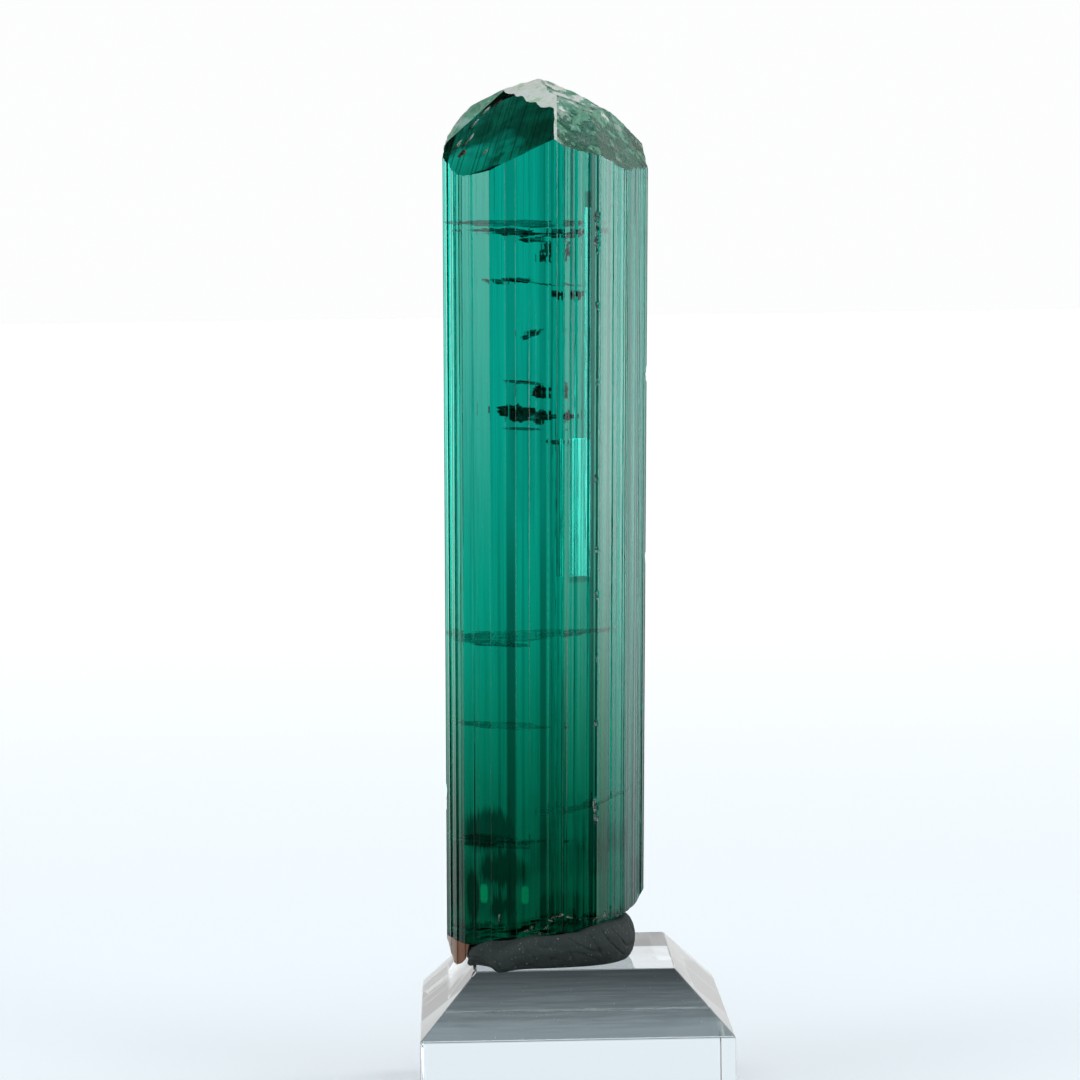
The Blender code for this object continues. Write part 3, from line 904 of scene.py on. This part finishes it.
def section_ring():
    """Points of the striated section in order: place, outward direction, recess, drift phase, rib recess."""
    rng = random.Random(STRIP_SEED)
    ring = []
    for corner, start in enumerate(SECTION):
        end = SECTION[(corner + 1) % len(SECTION)]
        start, end = Vector(start), Vector(end)
        along = end - start
        outward = Vector((along.y, -along.x)).normalized()
        count = max(2, round(along.length / STRIP_WIDTH))
        cuts = [0.0]
        cuts += [(number + rng.uniform(-STRIP_JITTER, STRIP_JITTER)) / count for number in range(1, count)]
        cuts.append(1.0)
        riser = 0.5 * STRIP_RISER / along.length
        ring.append((start, outward, 0.0, 0.0, 0.0))
        for low, high in zip(cuts, cuts[1:]):
            recess = STRIP_RECESS * rng.random() ** 1.5
            phase = rng.uniform(0.0, math.tau)
            for rib in range(RIBS + 1):
                at = low + riser + (high - low - 2 * riser) * rib / RIBS
                deep = corner == DEEP_RIBS[0] and at > DEEP_RIBS[1]
                rib_depth = DEEP_RIBS[2] if deep else RIB_DEPTHS[corner]
                rib_recess = rib_depth * MM * rng.uniform(-1.0, 1.0)
                ring.append((start + along * at, outward, recess, phase, rib_recess))
    return ring


def prism():
    """The striated prism, tapering downward, before anything is cut."""
    ring = section_ring()

    def place_at(number, height):
        point, outward, recess, phase, rib = ring[number]
        depth = recess * (1.0 + STRIP_DRIFT * math.sin(phase + height / STRIP_WAVE)) + rib
        place = (point - outward * depth) * width_at(height)
        return place.x, place.y, height

    radius = max(x for x, _ in SECTION)
    return stack("tourmaline_crystal", len(ring), radius, PRISM_FOOT, PRISM_STEP, PRISM_STEPS, place_at)


def plane_normal(azimuth, slope):
    """Which way a plane faces that slopes down toward this azimuth."""
    turn, tilt = math.radians(azimuth), math.radians(slope)
    return Vector((math.sin(tilt) * math.sin(turn), -math.sin(tilt) * math.cos(turn), math.cos(tilt)))


def plane_heights(x, y):
    """Height over this point of each plane of the etched top."""
    heights = []
    for azimuth, slope, on_axis in ETCHED_FACES:
        normal = plane_normal(azimuth, slope)
        heights.append(on_axis - (normal.x * x + normal.y * y) / normal.z)
    return heights


def lowest_plane(x, y):
    heights = plane_heights(x, y)
    return heights.index(min(heights))


def etched_height(x, y):
    """Height of the etched top over this point: the lowest of its planes, pitted."""
    height = min(plane_heights(x, y))
    place = Vector((x, y, height))
    relief = sum(depth * (noise.noise(place / size) - sink) for depth, size, sink in ETCH_PITS)
    return height + relief * MM


def interpolate(table, x):
    """Reads a table of (x, value), straight between its entries and level past its ends."""
    for (x0, z0), (x1, z1) in zip(table, table[1:]):
        if x <= x1:
            share = min(max((x - x0) / (x1 - x0), 0.0), 1.0)
            return z0 + (z1 - z0) * share
    return table[-1][1]


def break_height(x, y):
    """Height of the crystal's broken lower end, in the crystal's own frame."""
    relief = 0.0
    for number, (share, size) in enumerate(BREAK_LAYERS):
        relief += share * noise.noise(Vector((x, y, number)) / (size * BREAK_SCALE))
    main = BREAK_HEIGHT + BREAK_RISE * x + BREAK_RELIEF * relief
    main += CORNER_LIFT * max(x - CORNER_START, 0.0) ** 2
    front, back = SPLINTER_BACK
    depth = min(max((back - y) / (back - front), 0.0), 1.0)
    if x > SPLINTER_EDGE[-1][0] + SPLINTER_WALL:
        return main
    splinter = min(interpolate(SPLINTER_EDGE, x), main)
    if x > SPLINTER_EDGE[-1][0]:
        share = (x - SPLINTER_EDGE[-1][0]) / SPLINTER_WALL
        splinter += (main - splinter) * share
    return main + (splinter - main) * depth


def chip_middle(corner, height, radius):
    """Where the middle of a chip's lump lies, a little outside the edge."""
    edge = Vector(SECTION[corner]) * width_at(height)
    middle = edge + edge.normalized() * CHIP_OUTSIDE * radius
    return Vector((middle.x, middle.y, height))


def chipped(place):
    """Whether this place on the crystal is the wall of a chip."""
    if inside_by(*place) < CHIP_DEPTH:
        return False
    return any((place - chip_middle(*shape)).length < CHIP_REACH * shape[2] for shape in CHIPS)


def chip(number, corner, height, radius):
    """An angular lump, to be taken out of an edge."""
    middle = chip_middle(corner, height, radius)
    deselect()
    bpy.ops.mesh.primitive_ico_sphere_add(subdivisions=2, radius=radius, location=middle)
    made = bpy.context.object
    made.scale = CHIP_FLATTEN
    settle(made)
    for vertex in made.data.vertices:
        away = vertex.co - middle
        rough = noise.noise(away / (CHIP_FACETS * radius) + Vector((CHIP_SEED_STEP * number, 0.0, 0.0)))
        vertex.co = middle + away * (1.0 + CHIP_ROUGHNESS * rough)
    return made


def front_at(x, z):
    """Where the crystal's front is, this far across and up: its smooth face near the top, or its side."""
    if z > SMOOTH_FACE[2] - SMOOTH_DROP:
        normal = plane_normal(*SMOOTH_FACE[:2])
        return (normal.z * (SMOOTH_FACE[2] - z) - normal.x * x) / normal.y
    return interpolate(SECTION[FRONT_SIDES], x / width_at(z)) * width_at(z)


def flake_place(shape):
    """The matrix that makes a unit ball this flake."""
    (x, z), (half_width, half_height), turn, _ = shape
    x, z = x * MM, z * MM
    sizes = (half_width * MM, FLAKE_DEPTH, half_height * MM, 1.0)
    place = Matrix.Translation((x, front_at(x, z) + FLAKE_SINK, z))
    return place @ Matrix.Rotation(math.radians(turn), 4, "Y") @ Matrix.Diagonal(sizes)


def flake(number, shape):
    """A small angular lump, to be taken out of the front."""
    deselect()
    bpy.ops.mesh.primitive_ico_sphere_add(subdivisions=2, radius=1.0)
    made = bpy.context.object
    seed = Vector((CHIP_SEED_STEP * number, 5.0, 0.0))
    for vertex in made.data.vertices:
        vertex.co *= 1.0 + FLAKE_ROUGHNESS * noise.noise(vertex.co * FLAKE_FACETS + seed)
    made.data.transform(flake_place(shape))
    return made


def smooth_depth(place):
    """How deep a place lies under the plane of the smooth face."""
    return (Vector((0.0, 0.0, SMOOTH_FACE[2])) - place).dot(plane_normal(*SMOOTH_FACE[:2]))


def flake_kind(place):
    """The kind of the flake whose wall this place on the crystal is, or None."""
    near = [shape[3] for shape in FLAKES if (flake_place(shape).inverted() @ place).length < FLAKE_REACH]
    if not near:
        return None
    if place.z > SMOOTH_FACE[2] - SMOOTH_DROP:
        return near[0] if smooth_depth(place) > FLAKE_LEAST_DEPTH else None
    return near[0] if inside_by(*place) > CHIP_DEPTH else None


def mirror_crack(middle, ends, length, turn):
    """A thin upright gap, to be taken out of the crystal."""
    deselect()
    bpy.ops.mesh.primitive_cube_add(
        size=1.0,
        location=(middle[0] * MM, middle[1] * MM, (ends[0] + ends[1]) / 2 * MM),
        rotation=(0.0, 0.0, math.radians(turn)),
    )
    made = bpy.context.object
    made.scale = (length * MM, FRACTURE_GAP, (ends[1] - ends[0]) * MM)
    settle(made)
    return made


def on_mirror_crack(place):
    """Whether this place is on the wall of an upright crack."""
    for middle, ends, length, turn in MIRROR_CRACKS:
        along = Vector((math.cos(math.radians(turn)), math.sin(math.radians(turn))))
        away = Vector((place.x, place.y)) / MM - Vector(middle)
        near = abs(along.cross(away)) < FRACTURE_GAP / MM and abs(along.dot(away)) < length
        if near and ends[0] < place.z / MM < ends[1]:
            return True
    return False


def fracture(number, shape):
    """A thin ragged lens, to be taken out of the crystal."""
    (x, y, z), (across, deep), (tip, roll), ragged, wavy = shape
    deselect()
    bpy.ops.mesh.primitive_uv_sphere_add(segments=FRACTURE_SEGMENTS, ring_count=FRACTURE_RINGS, radius=1.0)
    made = bpy.context.object
    seed = Vector((FRACTURE_SEED_STEP * number, 0.0, 0.0))
    for vertex in made.data.vertices:
        flat = Vector((vertex.co.x, vertex.co.y, 0.0))
        way = flat.normalized()
        flat *= 1.0 + ragged * (noise.noise(way * 1.4 + seed) + 0.4 * noise.noise(way * 5.0 + seed))
        wave = wavy * (noise.noise(flat * 2.2 + seed) + 0.25 * noise.noise(flat * 7.0 + seed))
        thick = vertex.co.z * FRACTURE_GAP / 2 + wave * across * MM
        vertex.co = (flat.x * across * MM, flat.y * deep * MM, thick)
    turn = Matrix.Rotation(math.radians(roll), 4, "Y") @ Matrix.Rotation(math.radians(tip), 4, "X")
    made.data.transform(Matrix.Translation(Vector((x, y, z)) * MM) @ turn)
    return made


def inside_by(x, y, height):
    """How deep a point lies inside the prism's section at this height."""
    width = width_at(height)
    depths = []
    for start, end in zip(SECTION, SECTION[1:] + SECTION[:1]):
        along_x, along_y = end[0] - start[0], end[1] - start[1]
        away_x, away_y = x - start[0] * width, y - start[1] * width
        depths.append((along_x * away_y - along_y * away_x) / math.hypot(along_x, along_y))
    return min(depths)


def on_smooth_face(normal, middle):
    """Whether a face that faces this way and has its middle here is part of the smooth face."""
    alike = normal.dot(plane_normal(*SMOOTH_FACE[:2])) > SMOOTH_LEAST_ALIKE
    return alike and abs(smooth_depth(middle)) < SMOOTH_MOST_AWAY


def top_kind(middle):
    """What kind of face of the etched top has its middle here."""
    ridge = abs(middle.x - RIDGE_X) < RIDGE_HALF and middle.y < 0.0
    plane = lowest_plane(middle.x, middle.y)
    mottle = layered(middle, ETCH_MOTTLE) + (middle.z - ETCH_PALE_HEIGHT) / ETCH_PALE_RISE
    if ridge or plane == FROSTED_FACE or mottle > FROSTED_FROM:
        return "frosted"
    return "etched" if mottle > ETCHED_FROM or plane == LEFT_FACE else "bright"


def face_kind(normal, middle):
    """What kind of face of the cut crystal faces this way and has its middle here."""
    if on_smooth_face(normal, middle):
        rear = (middle - Vector(SMOOTH_END[0])).dot(SMOOTH_END[1]) > 0.0
        return "etched" if rear else "smooth"
    if flake_kind(middle):
        return flake_kind(middle)
    if normal.z > TOP_FACES_UP and middle.z > TOP_FROM:
        return top_kind(middle)
    if (middle - Vector(STAIN_PLACE)).dot(STAIN_NORMAL) < 0.0:
        return "stained"
    if chipped(middle):
        return "chipped"
    inside = inside_by(*middle)
    if normal.z < BREAK_FACES_UP and middle.z < BREAK_TO and inside > -BREAK_OUTSIDE:
        return "broken"
    if middle.z < FRACTURES_TO and inside > FRACTURES_INSIDE:
        return "clear" if on_mirror_crack(middle) else "fractured"
    return "grown"


def cut_crystal():
    """The prism with its top, its broken end, chips, flakes and fractures cut."""
    piece = prism()
    low, high = (-ETCH_REACH, -ETCH_REACH), (ETCH_REACH, ETCH_REACH)
    subtract(piece, slab("top_cut", low, high, etched_height, ETCH_ROOF, ETCH_CELL, -CUTTER_THICKNESS))
    smooth_middle = (0.0, 0.0, SMOOTH_FACE[2])
    divide(piece, smooth_middle, plane_normal(*SMOOTH_FACE[:2]), use_fill=True, clear_outer=True)
    low, high = BREAK_CORNERS
    subtract(piece, slab("break_cut", low, high, break_height, BREAK_FLOOR, BREAK_CELL, CUTTER_THICKNESS))
    for number, shape in enumerate(CHIPS):
        subtract(piece, chip(number, *shape))
    for number, shape in enumerate(FLAKES):
        subtract(piece, flake(number, shape))
    for number, shape in enumerate(FRACTURES):
        subtract(piece, fracture(number, shape))
    for shape in MIRROR_CRACKS:
        subtract(piece, mirror_crack(*shape))
    return piece


def build_crystal():
    piece = cut_crystal()
    divide(piece, STAIN_PLACE, STAIN_NORMAL)
    divide(piece, *SMOOTH_END, on_smooth_face)
    piece.data.materials.clear()
    kinds = list(FACES)
    for kind in kinds:
        piece.data.materials.append(tourmaline(kind))
    for polygon in piece.data.polygons:
        polygon.material_index = kinds.index(face_kind(polygon.normal, polygon.center))
    piece.data.transform(crystal_frame())
    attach(piece, "root")
    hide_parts("crystal")
    return piece


# ---------------------------------------------------------------- display base and putty


def build_base():
    deselect()
    bpy.ops.mesh.primitive_cube_add(size=1.0, location=(0.0, 0.0, BASE_HEIGHT / 2))
    piece = bpy.context.object
    piece.name = "clear_base"
    piece.scale = (BASE_SIDE, BASE_SIDE, BASE_HEIGHT)
    settle(piece)
    divide(piece, (0.0, 0.0, BASE_HEIGHT - BEVEL_DROP), (0.0, 0.0, 1.0))
    for vertex in piece.data.vertices:
        if vertex.co.z > BASE_HEIGHT - BEVEL_DROP / 2:
            vertex.co.x *= 1 - 2 * BEVEL_INSET / BASE_SIDE
            vertex.co.y *= 1 - 2 * BEVEL_INSET / BASE_SIDE
    rounding = piece.modifiers.new("edges", "BEVEL")
    rounding.width = BASE_EDGE_ROUND
    rounding.segments = BASE_EDGE_SEGMENTS
    apply_modifiers(piece)
    piece.data.materials.clear()
    piece.data.materials.append(acrylic(False))
    piece.data.materials.append(acrylic(True))
    # The front and back bevels take the bevel finish with its painted shade; the other faces stay polished.
    for polygon in piece.data.polygons:
        facing = polygon.normal
        sloping = BEVEL_FACES_UP[0] < facing.z < BEVEL_FACES_UP[1]
        polygon.material_index = int(sloping and abs(facing.y) > abs(facing.x))
    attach(piece, "root")
    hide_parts("display_base")
    return piece


def base_top(x, y):
    """Height of the base's top or bevel here."""
    beyond = max(abs(x), abs(y)) - (BASE_SIDE / 2 - BEVEL_INSET)
    return BASE_HEIGHT - max(beyond, 0.0) * BEVEL_DROP / BEVEL_INSET


def putty_reach(azimuth):
    """Which way and how far the putty spreads toward this azimuth."""
    turn = math.radians(azimuth)
    direction = Vector((math.sin(turn), -math.cos(turn)))
    own = Matrix.Rotation(-PUTTY_TURN, 2) @ direction
    power = PUTTY_SQUARENESS
    across, deep = abs(own.x / PUTTY_REACH[0]), abs(own.y / PUTTY_REACH[1])
    reach = (across**power + deep**power) ** (-1.0 / power)
    around = (direction.x * PUTTY_LUMP_WAVES, direction.y * PUTTY_LUMP_WAVES, 3.0)
    reach += PUTTY_LUMP * noise.noise(Vector(around))
    for tip_azimuth, width, length in PUTTY_TIPS:
        away = (azimuth - tip_azimuth + 180.0) % 360.0 - 180.0
        reach += length * math.exp(-((away / width) ** 2))
    return direction, reach


def underside_at(x, y):
    """Height of the crystal's underside above this point of the base, in the base's frame."""
    local = crystal_frame().inverted() @ Vector((x, y, BASE_HEIGHT))
    return (crystal_frame() @ Vector((local.x, local.y, break_height(local.x, local.y)))).z


def putty_ring(spread, lift):
    """Places round the putty, this share of the way out from its middle and up from the base."""
    ring = []
    for segment in range(PUTTY_SEGMENTS):
        direction, reach = putty_reach(360.0 * segment / PUTTY_SEGMENTS)
        x = PUTTY_CENTRE[0] + direction.x * reach * spread
        y = PUTTY_CENTRE[1] + direction.y * reach * spread
        floor = base_top(x, y) + PUTTY_FLOOR_GAP
        roof = min(underside_at(x, y), BASE_HEIGHT + PUTTY_MOST) - PUTTY_ROOF_GAP
        roof = max(roof, floor + PUTTY_LEAST)
        ring.append((x, y, floor + (roof - floor) * lift))
    return ring


def crease_and_knead(piece):
    """Gives the side of the putty its creases and lumps."""
    normals = [vertex.normal.copy() for vertex in piece.data.vertices]
    for vertex, normal in zip(piece.data.vertices, normals):
        side = min(max(1.0 - abs(normal.z), 0.0), 1.0)
        place = Matrix.Rotation(CREASE_SLANT, 3, "Y") @ vertex.co
        wide, high = CREASE_SIZE
        crease = abs(noise.noise(Vector((place.x / wide, place.y / wide, place.z / high)) / MM))
        fold = CREASE_DEPTH * max(0.0, 1.0 - crease / CREASE_WIDTH)
        vertex.co += normal * side * (KNEAD_HEIGHT * layered(vertex.co, KNEAD_LAYERS) - fold) * MM


def build_putty():
    """A squashed lump: rings from its underside, out round the bulging side and in under the crystal."""
    rings = [putty_ring(spread, lift) for spread, lift in PUTTY_PROFILE]

    def place_at(number, height):
        # The circle's vertices run the other way round than azimuths do.
        return rings[round(height / MM)][-number]

    piece = stack("kneaded_putty", PUTTY_SEGMENTS, PUTTY_REACH[0], 0.0, MM, len(rings) - 1, place_at)
    whole = piece.modifiers.new("whole", "REMESH")
    whole.mode = "VOXEL"
    whole.voxel_size = PUTTY_VOXEL
    soft = piece.modifiers.new("soft", "SMOOTH")
    soft.iterations = PUTTY_SOFTENING
    apply_modifiers(piece)
    crease_and_knead(piece)
    take(piece)
    bpy.ops.object.shade_smooth()
    piece.data.materials.clear()
    piece.data.materials.append(putty_finish())
    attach(piece, "root")
    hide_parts("putty")
    return piece


# ---------------------------------------------------------------- stage


# The camera looks down a little and is rolled a little. It is turned about the upright through the origin.
CAMERA_PITCH = math.radians(4.24)
CAMERA_ROLL = math.radians(-0.80)
CAMERA_YAW = math.radians(-1.33)
CAMERA_PLACE = Vector((-2.2 * MM, -293.2 * MM, 61.1 * MM))
CAMERA_LIFT = 7.9 * MM
CAMERA_LENS = 118.0

FLOOR_SIDE = 12.0
# The floor's colour near the camera and far off: painted shade, darker and bluer near.
FLOOR_NEAR, FLOOR_FAR = (0.838, 0.858, 0.878), (0.975, 0.935, 0.915)

# Softboxes: how bright each is, and the azimuths and elevations in degrees between which it shines: where it
# starts, where it is full, where it fades and where it ends.
SOFTBOXES = [
    (1.9, (-76.0, -72.0, -50.0, -46.0), (-5.0, 4.0, 44.0, 50.0)),
    (1.5, (38.0, 42.0, 60.0, 66.0), (-10.0, -2.0, 44.0, 50.0)),
    (2.2, (84.0, 90.0, 115.0, 122.0), (-10.0, -3.0, 34.0, 40.0)),
]
OVERHEAD_LIGHT = 3.7
FRONT_LIGHT = 0.3
LIGHT_FROM_BELOW = 0.34
LIGHT_FROM_BELOW_LEFT = 0.7
LEAST_LIGHT = 0.005


def set_camera():
    right = Vector((1.0, 0.0, 0.0))
    forward = Vector((0.0, math.cos(CAMERA_PITCH), -math.sin(CAMERA_PITCH)))
    up = right.cross(forward)
    rolled_right = math.cos(CAMERA_ROLL) * right + math.sin(CAMERA_ROLL) * up
    rolled_up = math.cos(CAMERA_ROLL) * up - math.sin(CAMERA_ROLL) * right
    yaw = Matrix.Rotation(CAMERA_YAW, 3, "Z")
    place = yaw @ CAMERA_PLACE + Vector((0.0, 0.0, CAMERA_LIFT))
    axes = Matrix((yaw @ rolled_right, yaw @ rolled_up, -(yaw @ forward))).transposed().to_4x4()
    lens = bpy.data.cameras.new("camera")
    lens.sensor_width = 36.0
    lens.lens = CAMERA_LENS
    lens.clip_start = 0.01
    camera = bpy.data.objects.new("camera", lens)
    camera.matrix_world = Matrix.Translation(place) @ axes
    bpy.context.scene.collection.objects.link(camera)
    bpy.context.scene.camera = camera


def set_floor():
    """A pale floor, with painted shade that darkens it and turns it a little bluer toward the camera."""
    deselect()
    bpy.ops.mesh.primitive_plane_add(size=1.0, location=(0.0, 0.0, 0.0))
    floor = bpy.context.object
    floor.name = "floor"
    floor.scale = (FLOOR_SIDE, FLOOR_SIDE, 1.0)
    settle(floor)
    material, finish = new_finish("pale floor")
    far = finish.parts(finish.place())[1].rise(0.02, 0.45)
    tone = finish.mix(far, FLOOR_NEAR, FLOOR_FAR)
    surface = finish.principled(
        Base_Color=tone, Roughness=0.9, Specular_IOR_Level=0.0, Emission_Color=tone, Emission_Strength=0.25
    )
    finish.output(Surface=surface)
    floor.data.materials.append(material)
    floor.visible_glossy = False
    floor.visible_transmission = False


def set_light():
    """A pale studio: white behind and beside, softboxes left, right and overhead, dim in front and below."""
    world = bpy.data.worlds.new("studio")
    bpy.context.scene.world = world
    world.use_nodes = True
    finish = Finish(world.node_tree)
    x, y, z = finish.parts(finish.node("ShaderNodeTexCoord", output="Generated"))
    azimuth = x.maths("ARCTAN2", -y) * math.degrees(1.0)
    side = abs(azimuth)
    elevation = z.maths("ARCSINE") * math.degrees(1.0)

    # The walls reach further down behind than beside, and are bright only up to a height.
    low_end = side.rise(150.0, 165.0) * -9.0 - 9.0
    above = (elevation - low_end).rise(-8.0, 3.0)
    low_walls = elevation.rise(16.0, 9.0)
    below_top = low_walls.most(elevation.rise(34.0, 26.0) * side.rise(166.0, 170.0))
    behind = elevation.rise(78.0, 70.0) * side.rise(150.0, 158.0)
    upper = 0.02 + 0.32 * elevation.rise(46.0, 40.0).most(behind)
    walls = side.rise(70.0, 84.0) * above * (upper + (1.0 - upper) * below_top)
    walls = walls * (1.0 - 0.4 * azimuth.between(-152.0, -144.0, -80.0, -60.0))
    light = LEAST_LIGHT + walls
    for strength, azimuths, elevations in SOFTBOXES:
        light = light + strength * azimuth.between(*azimuths) * elevation.between(*elevations)
    light = light + OVERHEAD_LIGHT * elevation.between(46.0, 54.0, 65.0, 71.0) * side.rise(112.0, 98.0)
    under = elevation.rise(-21.0, -25.0) * side.rise(70.0, 100.0)
    below_left = azimuth.between(136.0, 142.0, 156.0, 162.0) * under
    light = light + LIGHT_FROM_BELOW * under + LIGHT_FROM_BELOW_LEFT * below_left
    light = light + FRONT_LIGHT * elevation.rise(-13.0, -17.0) * side.rise(100.0, 80.0)

    tone = finish.mix(elevation.between(-14.0, -3.0, 30.0, 36.0), (0.82, 0.91, 0.96), (1.0, 1.0, 1.0))
    shown = finish.node("ShaderNodeLightPath", output="Is Camera Ray")
    seen = finish.node("ShaderNodeBackground", sockets={"Color": (0.98, 0.985, 0.985), "Strength": 1.0})
    lit = finish.node("ShaderNodeBackground", sockets={"Color": tone, "Strength": light})
    both = finish.node("ShaderNodeMixShader", sockets={0: shown, 1: lit, 2: seen})
    finish.output("ShaderNodeOutputWorld", Surface=both)


def set_scene():
    """Plain tones, and enough bounces for light to get through the crystal and its base."""
    scene = bpy.context.scene
    scene.view_settings.view_transform = "Standard"
    scene.cycles.max_bounces = 32
    scene.cycles.glossy_bounces = 24
    scene.cycles.transmission_bounces = 32
    scene.cycles.diffuse_bounces = 4
    scene.cycles.transparent_max_bounces = 16


build_base()
build_putty()
build_crystal()
set_floor()
set_light()
set_scene()
set_camera()
